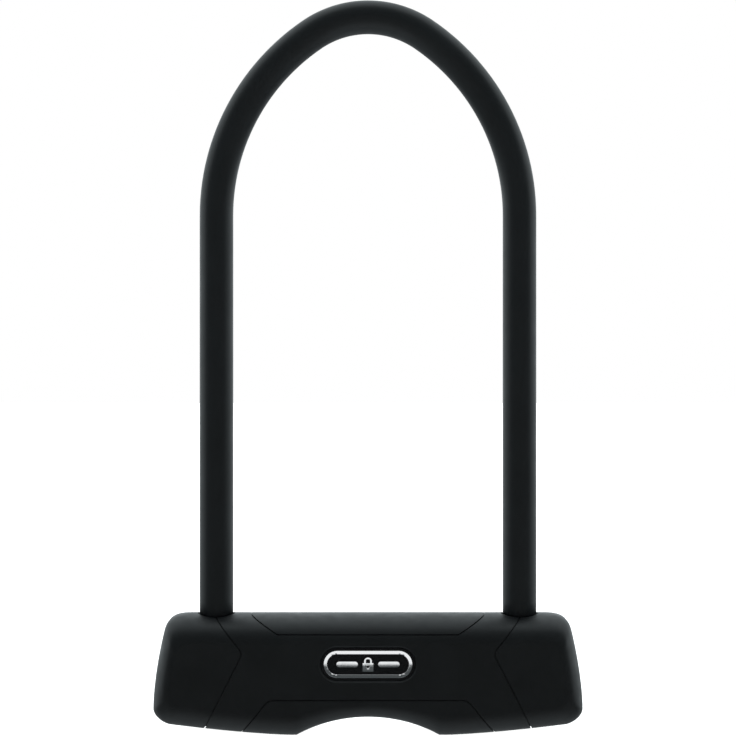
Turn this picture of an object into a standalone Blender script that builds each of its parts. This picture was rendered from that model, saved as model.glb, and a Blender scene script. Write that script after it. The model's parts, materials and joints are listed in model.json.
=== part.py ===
"""A bicycle U-lock, closed and unlocked, standing on its lock body.

The bow is a round hardened bar bent to a three-centred arch, with a thin vinyl sleeve. Its two feet go down
through the covers into a steel housing, where two bolts slide out into a notch in each foot. A disc cylinder
in the middle of the body's underside turns a cam with two spiral slots, which drives both bolts at once.

Frame: +X to the right, +Y to the back, +Z up. The origin is at the middle of the body's foot.
Sizes are in metres, written as millimetres times MM.
"""

import math

import bmesh
import bpy
from mathutils import Vector

MM = 0.001

# ---------------------------------------------------------------- the bow
SIDE_ARC_R = 87.6 * MM  # centreline radius of the arch's two sides
SIDE_ARC_X = 27.0 * MM  # their centres are this far past the middle
CROWN_ARC_R = 39.7 * MM  # centreline radius of the crown
SPRING_Z = 206.4 * MM  # the legs end and the arch begins
LEG_X = SIDE_ARC_R - SIDE_ARC_X
BAR_R = 6.0 * MM
SLEEVE_R = 6.7 * MM
SLEEVE_WALL = 0.55 * MM
SLEEVE_END_Z = 45.2 * MM
FOOT_Z = 17.0 * MM  # the lower ends of the bar

# ---------------------------------------------------------------- the covers
HALF_WIDTH = 85.3 * MM
HALF_DEPTH = 16.0 * MM
TOP_Z = 47.5 * MM
WIDEST_Z = 10.3 * MM  # the ends lean in above this height
ARCH_X, ARCH_Z = 28.3 * MM, 7.4 * MM  # half the width of the arch in the underside, and its height
PAD_X = 31.0 * MM  # the underside is level from the arch to here, then rises
TOP_CORNER = (11.0 * MM, 7.0 * MM, 3.3)  # width, height and superellipse power of the upper corners
FOOT_CORNER_X, FOOT_CORNER_POWER = 78.3 * MM, 1.9  # the lower corners begin at this distance
COVER_WALL = 2.0 * MM
SEAM = 0.4 * MM
EDGE_STEPS = 4
ARCH_STEPS, FOOT_STEPS, CORNER_STEPS, SIDE_STEPS, TOP_STEPS = 6, 4, 6, 5, 5

# how far the rounded edges reach into the front face, and half the depth of the band left between them
TOP_EDGE, TOP_BAND = 11.0 * MM, 1.5 * MM
END_EDGE, END_BAND = 7.0 * MM, 5.0 * MM
FOOT_EDGE, FOOT_BAND = 9.0 * MM, 7.0 * MM
ARCH_EDGE, ARCH_BAND = 6.0 * MM, 9.0 * MM
FACE_CORNER = 5.0 * MM
LEG_HOLE_R = 7.6 * MM

# each seam's corners in millimetres, the last number being the corner's radius
CHEVRON = ((65.4, 52.6, 0), (49.3, 33.4, 2.8), (62.1, 8.1, 30), (67.5, -3.0, 0))
TOP_SEAM = ((55.0, 52.6, 0), (35.6, 40.5, 2.5), (25.0, 40.5, 0))
FOOT_SEAM = ((30.0, 14.8, 0), (39.2, 14.8, 4), (54.0, -3.6, 0))

# ---------------------------------------------------------------- the badge
BADGE_Z = 29.0 * MM
POCKET = (18.7 * MM, 6.6 * MM)  # half lengths of the pocket, the plate in it and the bright rim on that
PLATE = (18.4 * MM, 6.3 * MM)
RIM = (17.4 * MM, 5.3 * MM)
RIM_WIDTH = 1.3 * MM
POCKET_FLOOR_Y = -15.0 * MM
PLATE_Y = -15.45 * MM
RIM_Y = -15.95 * MM
SET_IN = 0.05 * MM  # the air left under each layer of the badge
SIGN_HALF_WIDTH, SIGN_LOW, SIGN_HIGH = 2.1 * MM, -2.8 * MM, 0.5 * MM  # the padlock sign's body, about BADGE_Z
SIGN_BOW_R, SIGN_GAP_R, SIGN_BOW_RISE = 1.5 * MM, 0.85 * MM, 0.7 * MM
SIGN_HOLE_R, SIGN_HOLE_DROP = 0.5 * MM, 1.0 * MM
BAR_X, BAR_HALF_LENGTH, BAR_HALF_HEIGHT = 8.2 * MM, 4.2 * MM, 1.1 * MM

# ---------------------------------------------------------------- the housing
TUBE_HALF_LENGTH = 74.5 * MM
TUBE_HALF_DEPTH = 13.2 * MM
TUBE_Z0, TUBE_Z1 = 10.2 * MM, 43.5 * MM
TUBE_CORNER_R = 7.0 * MM
TUBE_WALL = 2.6 * MM
FIT = 0.2 * MM  # clearance round what sits inside something else
PIN_FIT = 0.15 * MM
BORE_R = BAR_R + 0.3 * MM
BUSH_R = 7.2 * MM
BUSH_Z1 = 44.2 * MM
KEY_OPENING_R = 6.6 * MM
PIN_SINK = 0.1 * MM  # the cross pins end this far below the housing's faces
GUIDE_X0, GUIDE_X1 = 44.0 * MM, 68.6 * MM
BORE_FLOOR_Z = 16.0 * MM
PLUG_X0, PLUG_X1 = 69.0 * MM, 74.4 * MM
CROSS_PIN_R = 1.25 * MM
GUIDE_PIN = (48.6 * MM, 22.0 * MM)  # x and z
PLUG_PIN = (71.7 * MM, 27.0 * MM)

# ---------------------------------------------------------------- the bolts and the cam
BOLT_Z0, BOLT_Z1 = 32.0 * MM, 40.4 * MM
SHANK_Z1 = 36.6 * MM
SHANK_X, NOSE_X0, NOSE_X1 = 1.6 * MM, 45.2 * MM, 54.2 * MM
NOSE_HALF_DEPTH, SHANK_HALF_DEPTH = 6.0 * MM, 4.5 * MM
NOTCH_DEPTH = 4.0 * MM
NOTCH_GAP = 0.5 * MM
DRIVE_PIN_R = 1.1 * MM
DRIVE_X0, DRIVE_X1 = 3.8 * MM, 7.8 * MM  # the drive pins' distance from the middle, unlocked and locked
KEY_TURN = math.radians(90)
CAM_R = 10.2 * MM
CAM_Z0, CAM_Z1 = 28.4 * MM, 31.4 * MM
SLOT_GAP = 0.25 * MM
DRIVE_PIN_Z0 = CAM_Z0 + 0.6 * MM
DRIVE_PIN_Z1, PIN_HOLE_Z1 = SHANK_Z1 - 0.8 * MM, SHANK_Z1 - 0.6 * MM
PIN_HOLE_R = DRIVE_PIN_R + 0.05 * MM
TONGUE_HALF_LENGTH, TONGUE_HALF_WIDTH, TONGUE_Z = 6.6 * MM, 1.3 * MM, 26.1 * MM
TONGUE_ROOT = 0.3 * MM  # how far the tongue is sunk into the cam

# ---------------------------------------------------------------- the key cylinder
GUARD_HALF_X, GUARD_HALF_Y = 10.0 * MM, 6.6 * MM
GUARD_Z0, GUARD_Z1 = 13.0 * MM, 14.0 * MM
CASE_R, CASE_BORE_R, MOUTH_R = 9.3 * MM, 7.3 * MM, 5.4 * MM
CASE_Z0, CASE_FLOOR_Z, CASE_Z1 = 14.2 * MM, 15.2 * MM, 28.0 * MM
WASHER_R, WASHER_BORE_R, WASHER_GAP = 9.2 * MM, 7.6 * MM, 0.1 * MM
CASE_PIN_X, CASE_PIN_Z, CASE_PIN_R = 9.9 * MM, 22.0 * MM, 1.0 * MM
ROTOR_R, ROTOR_BORE_R = 7.1 * MM, 5.7 * MM
ROTOR_Z0, ROTOR_FLOOR_Z, ROTOR_Z1 = 15.4 * MM, 16.2 * MM, 27.8 * MM
ROTOR_MOUTH_R = 3.3 * MM
DISC_COUNT = 5
DISC_R, DISC_THICK, SPACER_THICK, STACK_GAP = 5.5 * MM, 1.4 * MM, 0.4 * MM, 0.12 * MM
GATE_HALF_WIDTH, GATE_R = 1.1 * MM, 4.6 * MM
SIDEBAR_HALF_WIDTH = 0.9 * MM
SIDEBAR_Y0, SIDEBAR_Y1 = 4.8 * MM, 7.0 * MM
KEY_R = 3.1 * MM  # the keyway is half a circle

# ---------------------------------------------------------------- the keyhole in the underside
BEZEL_R, BEZEL_NECK_R, BEZEL_BORE_R = 8.4 * MM, 7.0 * MM, 5.9 * MM
BEZEL_Z0, BEZEL_FACE_Z = 7.8 * MM, 8.5 * MM
BEZEL_FLANGE_Z, BEZEL_Z1 = 9.55 * MM, 10.05 * MM
KEYHOLE_HALF_X, KEYHOLE_HALF_Y = 3.5 * MM, 2.0 * MM
LEAF_HALF_X = 4.0 * MM
LEAF_TIP_Y, LEAF_AXIS_Y, LEAF_AXIS_Z = -2.5 * MM, 3.0 * MM, 9.15 * MM
LEAF_THICK = 0.5 * MM
HINGE_PIN_R, HINGE_R = 0.25 * MM, 0.5 * MM
HINGE_REACH = 5.6 * MM  # the pin's ends sit in the bezel's wall
SPRING_X0, SPRING_PITCH, SPRING_TURNS = 4.15 * MM, 0.24 * MM, 2
SPRING_R, SPRING_WIRE_R = 0.42 * MM, 0.09 * MM

ROUND = 24  # sides of the small round pieces
SIDES = (("left", -1), ("right", 1))
FACING = {  # the rotation that points a flat outline's thickness along an axis
    "x": (math.radians(90), 0, math.radians(90)),
    "y": (math.radians(90), 0, 0),
    "z": (0, 0, 0),
}

for old in list(bpy.data.objects):
    bpy.data.objects.remove(old, do_unlink=True)

PARTS = bpy.data.collections.new("u_lock")
CUTTERS = bpy.data.collections.new("cutters")
for collection in (PARTS, CUTTERS):
    bpy.context.scene.collection.children.link(collection)


# ---------------------------------------------------------------- materials
def material(name, colour, roughness, metallic=0.0):
    made = bpy.data.materials.new(name)
    made.use_nodes = True
    shader = made.node_tree.nodes["Principled BSDF"]
    shader.inputs["Base Color"].default_value = (*colour, 1)
    shader.inputs["Roughness"].default_value = roughness
    shader.inputs["Metallic"].default_value = metallic
    return made


VINYL = material("black_vinyl", (0.010, 0.011, 0.012), 0.5)
SHELL = material("black_shell_plastic", (0.010, 0.011, 0.011), 0.5)
GLOSS = material("gloss_black", (0.004, 0.004, 0.004), 0.15)
CHROME = material("chrome", (0.80, 0.80, 0.80), 0.15, 1.0)
HARD_STEEL = material("hardened_steel", (0.42, 0.42, 0.43), 0.35, 1.0)
BLACK_STEEL = material("black_oxide_steel", (0.05, 0.05, 0.05), 0.45, 1.0)
BRASS = material("brass", (0.72, 0.53, 0.25), 0.3, 1.0)
NYLON = material("grey_nylon", (0.20, 0.20, 0.21), 0.5)


# ---------------------------------------------------------------- making pieces
def axis_empty(name, location):
    empty = bpy.data.objects.new(name, None)
    empty.location = location
    empty.empty_display_size = 10 * MM
    PARTS.objects.link(empty)
    return empty


def place(obj, finish, parent=None):
    """Puts a piece into the lock with its material, riding on parent if there is one."""
    for home in list(obj.users_collection):
        home.objects.unlink(obj)
    PARTS.objects.link(obj)
    obj.data.materials.clear()
    obj.data.materials.append(finish)
    if parent:
        bpy.context.view_layer.update()
        obj.parent = parent
        obj.matrix_parent_inverse = parent.matrix_world.inverted()
    return obj


def cutter(obj):
    for home in list(obj.users_collection):
        home.objects.unlink(obj)
    CUTTERS.objects.link(obj)
    obj.hide_render = True
    obj.display_type = "WIRE"
    return obj


def cut(obj, tool, operation="DIFFERENCE"):
    modifier = obj.modifiers.new(tool.name, "BOOLEAN")
    modifier.operation = operation
    modifier.solver = "EXACT"
    modifier.object = tool


def as_mesh(curve_object):
    """The curve as a mesh with its caps welded on, so that it can be cut. The curve is removed."""
    bpy.context.view_layer.update()
    graph = bpy.context.evaluated_depsgraph_get()
    mesh = bpy.data.meshes.new_from_object(curve_object.evaluated_get(graph))
    bm = bmesh.new()
    bm.from_mesh(mesh)
    bmesh.ops.remove_doubles(bm, verts=bm.verts, dist=1e-6)
    bmesh.ops.recalc_face_normals(bm, faces=bm.faces)
    bm.to_mesh(mesh)
    bm.free()
    name, matrix = curve_object.name, curve_object.matrix_world.copy()
    bpy.data.objects.remove(curve_object)
    made = bpy.data.objects.new(name, mesh)
    made.matrix_world = matrix
    PARTS.objects.link(made)
    return made


def smooth(obj, degrees=35):
    obj.data.shade_smooth()
    obj.data.set_sharp_from_angle(angle=math.radians(degrees))
    return obj


def flat(name, loops, facing, low, high):
    """A flat outline with any holes, made solid from low to high along the facing axis."""
    curve = bpy.data.curves.new(name, "CURVE")
    curve.dimensions = "2D"
    curve.fill_mode = "BOTH"
    curve.extrude = (high - low) / 2
    for loop in loops:
        spline = curve.splines.new("POLY")
        spline.points.add(len(loop) - 1)
        spline.use_cyclic_u = True
        for point, (a, b) in zip(spline.points, loop):
            point.co = (a, b, 0, 1)
    obj = bpy.data.objects.new(name, curve)
    obj.rotation_euler = FACING[facing]
    obj.location["xyz".index(facing)] = (low + high) / 2
    PARTS.objects.link(obj)
    return as_mesh(obj)


def swept(name, points, radius, resolution, capped=True):
    """A round bar, wire or tube skin along a chain of points."""
    curve = bpy.data.curves.new(name, "CURVE")
    curve.dimensions = "3D"
    curve.bevel_depth = radius
    curve.bevel_resolution = resolution
    curve.use_fill_caps = capped
    spline = curve.splines.new("POLY")
    spline.points.add(len(points) - 1)
    for point, place_at in zip(spline.points, points):
        point.co = (*place_at, 1)
    obj = bpy.data.objects.new(name, curve)
    PARTS.objects.link(obj)
    return smooth(as_mesh(obj))


def turned(name, profile, steps=ROUND):
    """A ring or cup about the Z axis. The profile's (radius, height) points run down its outside first."""
    bm = bmesh.new()
    points = [bm.verts.new((radius, 0, height)) for radius, height in profile]
    for first, second in zip(points, points[1:] + points[:1]):
        bm.edges.new((first, second))
    mesh = bpy.data.meshes.new(name)
    bm.to_mesh(mesh)
    bm.free()
    obj = bpy.data.objects.new(name, mesh)
    PARTS.objects.link(obj)
    screw = obj.modifiers.new("turn", "SCREW")
    screw.steps = steps
    screw.render_steps = steps
    screw.use_merge_vertices = True
    screw.merge_threshold = 0.00001
    return obj


def ring(name, outer, inner, low, high, steps=ROUND):
    return turned(name, [(outer, high), (outer, low), (inner, low), (inner, high)], steps)


def rod(name, radius, start, end, sides=ROUND):
    """A round pin or drill between two points."""
    start, end = Vector(start), Vector(end)
    along = end - start
    bpy.ops.mesh.primitive_cylinder_add(
        vertices=sides, radius=radius, depth=along.length, location=(start + end) / 2
    )
    obj = bpy.context.object
    obj.name = name
    obj.rotation_euler = along.to_track_quat("Z", "X").to_euler()
    return smooth(obj)


def block(name, low, high):
    """A box between two opposite corners."""
    low, high = Vector(low), Vector(high)
    bpy.ops.mesh.primitive_cube_add(size=1, location=(low + high) / 2)
    obj = bpy.context.object
    obj.name = name
    for vertex in obj.data.vertices:
        vertex.co = Vector(a * b for a, b in zip(vertex.co, high - low))
    return obj


def arc(centre, radius, start, end, steps):
    """Points along a circular arc, with its angles in degrees."""
    angles = [math.radians(start + (end - start) * k / steps) for k in range(steps + 1)]
    return [(centre[0] + radius * math.cos(a), centre[1] + radius * math.sin(a)) for a in angles]


def stadium(half_length, half_height, centre_z, steps=10):
    """A round-ended outline about the middle of the front."""
    middle = half_length - half_height
    right = arc((middle, centre_z), half_height, -90, 90, steps)
    return right + [(-x, z) for x, z in reversed(right)]


def rounded_box(half_width, low, high, radius, steps=4):
    """A rectangle with round corners, standing between two heights."""
    middle = half_width - radius
    right = arc((middle, low + radius), radius, -90, 0, steps)
    right += arc((middle, high - radius), radius, 0, 90, steps)
    return right + [(-a, b) for a, b in reversed(right)]


def mix(a, b, share):
    return a + (b - a) * share


# ---------------------------------------------------------------- the covers' surface
def side_x(z):
    """Half the width of the covers at a height."""
    return HALF_WIDTH - 0.0148 * MM * (max(z - WIDEST_Z, 0) / MM) ** 1.66


def foot_z(x):
    """The height of the covers' underside outside the arch."""
    return 0.01835 * MM * (max(x - PAD_X, 0) / MM) ** 1.406


def half_outline(wall):
    """The right half of the covers, or of the hollow a wall inside them, from the arch's middle to the top's.

    Each step gives the outermost point, the point where the rounded edge runs out into the flat face, and
    half the depth of the band between the front and back edges.
    """
    steps = []
    arch_r = (ARCH_X**2 + ARCH_Z**2) / (2 * ARCH_Z)
    centre_z = ARCH_Z - arch_r
    arch_turn = math.acos((wall - centre_z) / (arch_r + wall))
    for k in range(ARCH_STEPS):
        x = (arch_r + wall) * math.sin(arch_turn * k / ARCH_STEPS)
        z = centre_z + (arch_r + wall) * math.cos(arch_turn * k / ARCH_STEPS)
        height = (z - wall) / ARCH_Z
        face_z = mix(FOOT_EDGE, ARCH_Z + ARCH_EDGE, height)
        steps.append(((x, z), (x, face_z), mix(FOOT_BAND, ARCH_BAND, height)))

    face_x = side_x(WIDEST_Z + FOOT_EDGE) - END_EDGE - FACE_CORNER
    corner_x = (arch_r + wall) * math.sin(arch_turn)
    steps.append(((corner_x, wall), (corner_x, FOOT_EDGE), FOOT_BAND))
    for k in range(FOOT_STEPS + 1):
        x = mix(PAD_X, FOOT_CORNER_X, (k / FOOT_STEPS) ** 1.2)
        inner = mix(PAD_X, face_x, (k / FOOT_STEPS) ** 1.2)
        steps.append(((x, foot_z(x) + wall), (inner, foot_z(inner) + FOOT_EDGE), FOOT_BAND))

    for k in range(1, CORNER_STEPS + 1):
        turn = math.radians(90 * k / CORNER_STEPS)
        x = mix(FOOT_CORNER_X, HALF_WIDTH - wall, math.sin(turn) ** (2 / FOOT_CORNER_POWER))
        lift = 1 - math.cos(turn) ** (2 / FOOT_CORNER_POWER)
        z = mix(foot_z(x) + wall, WIDEST_Z, lift)
        inner_x = face_x + FACE_CORNER * math.sin(turn)
        inner_z = foot_z(face_x) + FOOT_EDGE + FACE_CORNER * (1 - math.cos(turn))
        steps.append(((x, z), (inner_x, inner_z), mix(FOOT_BAND, END_BAND, k / CORNER_STEPS)))

    width, height, power = TOP_CORNER
    low = foot_z(face_x) + FOOT_EDGE + FACE_CORNER
    high = TOP_Z - TOP_EDGE - FACE_CORNER
    for k in range(1, SIDE_STEPS + 1):
        z = mix(WIDEST_Z, TOP_Z - height, k / SIDE_STEPS)
        inner = mix(low, high, k / SIDE_STEPS)
        steps.append(((side_x(z) - wall, z), (side_x(inner) - END_EDGE, inner), END_BAND))

    for k in range(1, CORNER_STEPS + 1):
        turn = math.radians(90 * k / CORNER_STEPS)
        z = TOP_Z - height + (height - wall) * math.sin(turn) ** (2 / power)
        x = side_x(z) - wall - (width - wall) * (1 - math.cos(turn) ** (2 / power))
        inner_x = side_x(high) - END_EDGE - FACE_CORNER * (1 - math.cos(turn))
        inner_z = high + FACE_CORNER * math.sin(turn)
        steps.append(((x, z), (inner_x, inner_z), mix(END_BAND, TOP_BAND, k / CORNER_STEPS)))

    top_x = x
    for k in range(1, TOP_STEPS + 1):
        share = 1 - k / TOP_STEPS
        steps.append(((top_x * share, TOP_Z - wall), (inner_x * share, TOP_Z - TOP_EDGE), TOP_BAND))
    return steps


def cover_solid(name, wall=0.0):
    """The covers' outer form, or the hollow inside them, lofted from front to back."""
    half = half_outline(wall)
    whole = half + [((-a[0], a[1]), (-b[0], b[1]), band) for a, b, band in reversed(half[1:-1])]
    bm = bmesh.new()
    rings = []
    for side in (-1, 1):
        turns = [math.radians(90 * k / EDGE_STEPS) for k in range(EDGE_STEPS + 1)]
        for turn in turns if side > 0 else reversed(turns):
            row = []
            for outer, face, band in whole:
                inset = 1 - math.cos(turn)
                y = side * mix(band, HALF_DEPTH - wall, math.sin(turn))
                row.append(bm.verts.new((mix(outer[0], face[0], inset), y, mix(outer[1], face[1], inset))))
            rings.append(row)
    for front, back in zip(rings, rings[1:]):
        for k in range(len(whole)):
            after = (k + 1) % len(whole)
            bm.faces.new((front[k], front[after], back[after], back[k]))
    bm.faces.new(rings[0])
    bm.faces.new(reversed(rings[-1]))
    bmesh.ops.recalc_face_normals(bm, faces=bm.faces)
    mesh = bpy.data.meshes.new(name)
    bm.to_mesh(mesh)
    bm.free()
    return smooth(bpy.data.objects.new(name, mesh))


def rounded_path(corners, steps=4):
    """A chain of (x, z) points in metres through corners in millimetres, each turned with its own radius."""
    points = [Vector(corner[:2]) * MM for corner in corners]
    path = [points[0]]
    for before, here, after, corner in zip(points, points[1:], points[2:], corners[1:]):
        back, ahead = (before - here).normalized(), (after - here).normalized()
        half_angle = back.angle(ahead) / 2
        radius = corner[2] * MM
        reach = radius / math.tan(half_angle)
        centre = here + (back + ahead).normalized() * (radius / math.sin(half_angle))
        start, end = here + back * reach - centre, here + ahead * reach - centre
        path += [centre + radius * start.slerp(end, k / steps) for k in range(steps + 1)]
    return path + [points[-1]]


def shifted(path, distance):
    """The chain moved sideways, to the right of its direction."""
    moved = []
    for k, point in enumerate(path):
        along = path[min(k + 1, len(path) - 1)] - path[max(k - 1, 0)]
        along.normalize()
        moved.append(tuple(point + Vector((along.y, -along.x)) * distance))
    return moved


def end_region(side, grow):
    """Everything outside an end cap's chevron seam."""
    edge = shifted(rounded_path(CHEVRON), grow)
    far = 100 * MM
    return [(side * x, z) for x, z in [(far, edge[0][1])] + edge + [(far, edge[-1][1])]]


def inlay_region(corners, grow):
    """Everything above or below an inlay's seam, which is the same on both sides."""
    edge = shifted(rounded_path(corners), -grow)
    return edge + [(-x, z) for x, z in reversed(edge)]


def make_covers():
    deep = 30 * MM
    form = cover_solid("cover_form")
    hollow = cutter(cover_solid("cover_hollow", COVER_WALL))

    def region(name, loop):
        return cutter(flat(name, [loop], "y", -deep, deep))

    leg_drills = [
        cutter(rod(f"{side}_leg_drill", LEG_HOLE_R, (sign * LEG_X, 0, 30 * MM), (sign * LEG_X, 0, 60 * MM)))
        for side, sign in SIDES
    ]

    def cover(name, kept=None, dropped=(), drills=()):
        obj = bpy.data.objects.new(name, form.data.copy())
        if kept:
            cut(obj, kept, "INTERSECT")
        cut(obj, hollow)
        for tool in (*dropped, *drills):
            cut(obj, tool)
        return place(obj, SHELL)

    ends_grown = [region(f"{side}_end_grown", end_region(sign, SEAM / 2)) for side, sign in SIDES]
    inlays_grown = [
        region("top_inlay_grown", inlay_region(TOP_SEAM, SEAM / 2)),
        region("foot_inlay_grown", inlay_region(FOOT_SEAM, SEAM / 2)),
    ]
    pocket = cutter(flat("badge_pocket", [stadium(*POCKET, BADGE_Z)], "y", -deep, POCKET_FLOOR_Y))
    mouth = cutter(rod("key_mouth", BEZEL_NECK_R + FIT, (0, 0, 0), (0, 0, 12 * MM)))

    cover("centre_sleeve", None, ends_grown + inlays_grown, [*leg_drills, pocket])
    for (side, sign), drill in zip(SIDES, leg_drills):
        cover(f"{side}_end_cap", region(f"{side}_end", end_region(sign, -SEAM / 2)), (), [drill])
    cover("top_inlay", region("top_inlay_region", inlay_region(TOP_SEAM, -SEAM / 2)))
    cover("foot_inlay", region("foot_inlay_region", inlay_region(FOOT_SEAM, -SEAM / 2)), (), [mouth])
    bpy.data.objects.remove(form)


def make_badge():
    """A plain badge: a rim with a padlock sign in it between two bars."""
    plate = flat("badge_plate", [stadium(*PLATE, BADGE_Z)], "y", PLATE_Y, POCKET_FLOOR_Y - SET_IN)
    place(plate, GLOSS)
    back = PLATE_Y - SET_IN
    opening = stadium(RIM[0] - RIM_WIDTH, RIM[1] - RIM_WIDTH, BADGE_Z)
    place(flat("badge_rim", [stadium(*RIM, BADGE_Z), opening], "y", RIM_Y, back), CHROME)

    half, low, top = SIGN_HALF_WIDTH, BADGE_Z + SIGN_LOW, BADGE_Z + SIGN_HIGH
    bow_z = top + SIGN_BOW_RISE
    outline = [(-half, low), (half, low), (half, top), (SIGN_BOW_R, top)]
    outline += arc((0, bow_z), SIGN_BOW_R, 0, 180, 8) + [(-SIGN_BOW_R, top), (-half, top)]
    bow_gap = [(SIGN_GAP_R, top)] + arc((0, bow_z), SIGN_GAP_R, 0, 180, 8) + [(-SIGN_GAP_R, top)]
    keyhole = arc((0, BADGE_Z - SIGN_HOLE_DROP), SIGN_HOLE_R, 0, 360, 10)[:-1]
    place(flat("badge_padlock", [outline, bow_gap, keyhole], "y", RIM_Y, back), CHROME)
    for side, sign in SIDES:
        bar = [(x + sign * BAR_X, z) for x, z in stadium(BAR_HALF_LENGTH, BAR_HALF_HEIGHT, BADGE_Z, 5)]
        place(flat(f"{side}_badge_bar", [bar], "y", RIM_Y, back), CHROME)


# ---------------------------------------------------------------- the bow
def bow_path(low_z):
    """The bow's centreline as (x, 0, z), up the right leg, over the arch and down the left one."""
    crown_z = SPRING_Z + math.sqrt((SIDE_ARC_R - CROWN_ARC_R) ** 2 - SIDE_ARC_X**2)
    turn = math.degrees(math.atan2(crown_z - SPRING_Z, SIDE_ARC_X))
    right = [(LEG_X, low_z)] + arc((-SIDE_ARC_X, SPRING_Z), SIDE_ARC_R, 0, turn, 8)
    crown = arc((0, crown_z), CROWN_ARC_R, turn, 180 - turn, 8)
    left = [(-x, z) for x, z in reversed(right)]
    return [(x, 0, z) for x, z in right + crown[1:-1] + left]


def make_bow(rider):
    bar = swept("shackle_bar", bow_path(FOOT_Z), BAR_R, 6)
    inner_x = LEG_X - BAR_R
    for side, sign in SIDES:
        near, far = sorted((sign * (inner_x - 2 * MM), sign * (inner_x + NOTCH_DEPTH)))
        low = (near, -10 * MM, BOLT_Z0 - NOTCH_GAP)
        high = (far, 10 * MM, BOLT_Z1 + NOTCH_GAP)
        cut(bar, cutter(block(f"{side}_notch", low, high)))
    place(bar, HARD_STEEL, rider)

    sleeve = swept("shackle_sleeve", bow_path(SLEEVE_END_Z), SLEEVE_R, 6, capped=False)
    skin = sleeve.modifiers.new("wall", "SOLIDIFY")
    skin.thickness = SLEEVE_WALL
    skin.offset = -1
    place(sleeve, VINYL, rider)


# ---------------------------------------------------------------- the housing and what it holds still
def cross_holes(obj, name, x, z):
    """Lets a cross pin through a piece, from front to back."""
    deep = 20 * MM
    drill = rod(name, CROSS_PIN_R + PIN_FIT, (x, -deep, z), (x, deep, z), 16)
    cut(obj, cutter(drill))


def make_housing():
    outer = rounded_box(TUBE_HALF_DEPTH, TUBE_Z0, TUBE_Z1, TUBE_CORNER_R)
    inner_r = TUBE_CORNER_R - TUBE_WALL
    inner_box = (TUBE_HALF_DEPTH - TUBE_WALL, TUBE_Z0 + TUBE_WALL, TUBE_Z1 - TUBE_WALL)
    inner = rounded_box(*inner_box, inner_r)
    tube = flat("housing_tube", [outer, inner], "x", -TUBE_HALF_LENGTH, TUBE_HALF_LENGTH)
    cut(tube, cutter(rod("key_opening", KEY_OPENING_R, (0, 0, 5 * MM), (0, 0, 20 * MM))))
    place(tube, BLACK_STEEL)

    half_depth, low, high = inner_box
    filling = rounded_box(half_depth - FIT, low + FIT, high - FIT, inner_r)
    for side, sign in SIDES:
        leg_x = sign * LEG_X
        hole = rod(f"{side}_tube_hole", BUSH_R + FIT, (leg_x, 0, 35 * MM), (leg_x, 0, 50 * MM))
        cut(tube, cutter(hole))
        bush = ring(f"{side}_entry_bush", BUSH_R, BORE_R, high + 0.1 * MM, BUSH_Z1)
        bush.location.x = leg_x
        place(bush, NYLON)

        guide = flat(f"{side}_guide_block", [filling], "x", *sorted((sign * GUIDE_X0, sign * GUIDE_X1)))
        cut(guide, cutter(rod(f"{side}_bore", BORE_R, (leg_x, 0, BORE_FLOOR_Z), (leg_x, 0, 50 * MM))))
        near, far = sorted((sign * (GUIDE_X0 - 5 * MM), leg_x))
        low_corner = (near, -NOSE_HALF_DEPTH - FIT, BOLT_Z0 - FIT)
        high_corner = (far, NOSE_HALF_DEPTH + FIT, BOLT_Z1 + FIT)
        cut(guide, cutter(block(f"{side}_bolt_channel", low_corner, high_corner)))
        place(guide, HARD_STEEL)
        plug = flat(f"{side}_end_plug", [filling], "x", *sorted((sign * PLUG_X0, sign * PLUG_X1)))
        place(plug, BLACK_STEEL)

        for holder, kind, (x, z) in ((guide, "guide", GUIDE_PIN), (plug, "plug", PLUG_PIN)):
            for drilled in (holder, tube):
                cross_holes(drilled, f"{drilled.name}_{side}_{kind}_pin_hole", sign * x, z)
            reach = TUBE_HALF_DEPTH - PIN_SINK
            pin = rod(f"{side}_{kind}_pin", CROSS_PIN_R, (sign * x, -reach, z), (sign * x, reach, z), 16)
            place(pin, HARD_STEEL)

    for side, sign in SIDES:
        reach = TUBE_HALF_DEPTH - PIN_SINK
        ends = [(sign * CASE_PIN_X, y, CASE_PIN_Z) for y in (-reach, reach)]
        drill = rod(f"{side}_case_pin_hole", CASE_PIN_R + PIN_FIT, *[(x, y * 1.5, z) for x, y, z in ends], 16)
        cut(tube, cutter(drill))
        place(rod(f"{side}_case_pin", CASE_PIN_R, *ends, 16), HARD_STEEL)


# ---------------------------------------------------------------- the bolts and the cam
def make_bolts(riders):
    for (side, sign), rider in zip(SIDES, riders):
        def across(a, b):
            return sorted((sign * a, sign * b))

        shank_x, nose_x = across(SHANK_X, NOSE_X0), across(NOSE_X0 - 1 * MM, NOSE_X1)
        depth = SHANK_HALF_DEPTH
        bolt = block(f"{side}_bolt", (shank_x[0], -depth, BOLT_Z0), (shank_x[1], depth, SHANK_Z1))
        depth = NOSE_HALF_DEPTH
        nose = block(f"{side}_bolt_nose", (nose_x[0], -depth, BOLT_Z0), (nose_x[1], depth, BOLT_Z1))
        cut(bolt, cutter(nose), "UNION")
        pin_x = sign * DRIVE_X0
        pin_ends = ((pin_x, 0, DRIVE_PIN_Z0), (pin_x, 0, DRIVE_PIN_Z1))
        hole = rod(f"{side}_pin_hole", PIN_HOLE_R, (pin_x, 0, 20 * MM), (pin_x, 0, PIN_HOLE_Z1))
        cut(bolt, cutter(hole))
        place(bolt, HARD_STEEL, rider)
        place(rod(f"{side}_drive_pin", DRIVE_PIN_R, *pin_ends, 16), HARD_STEEL, rider)


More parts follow.
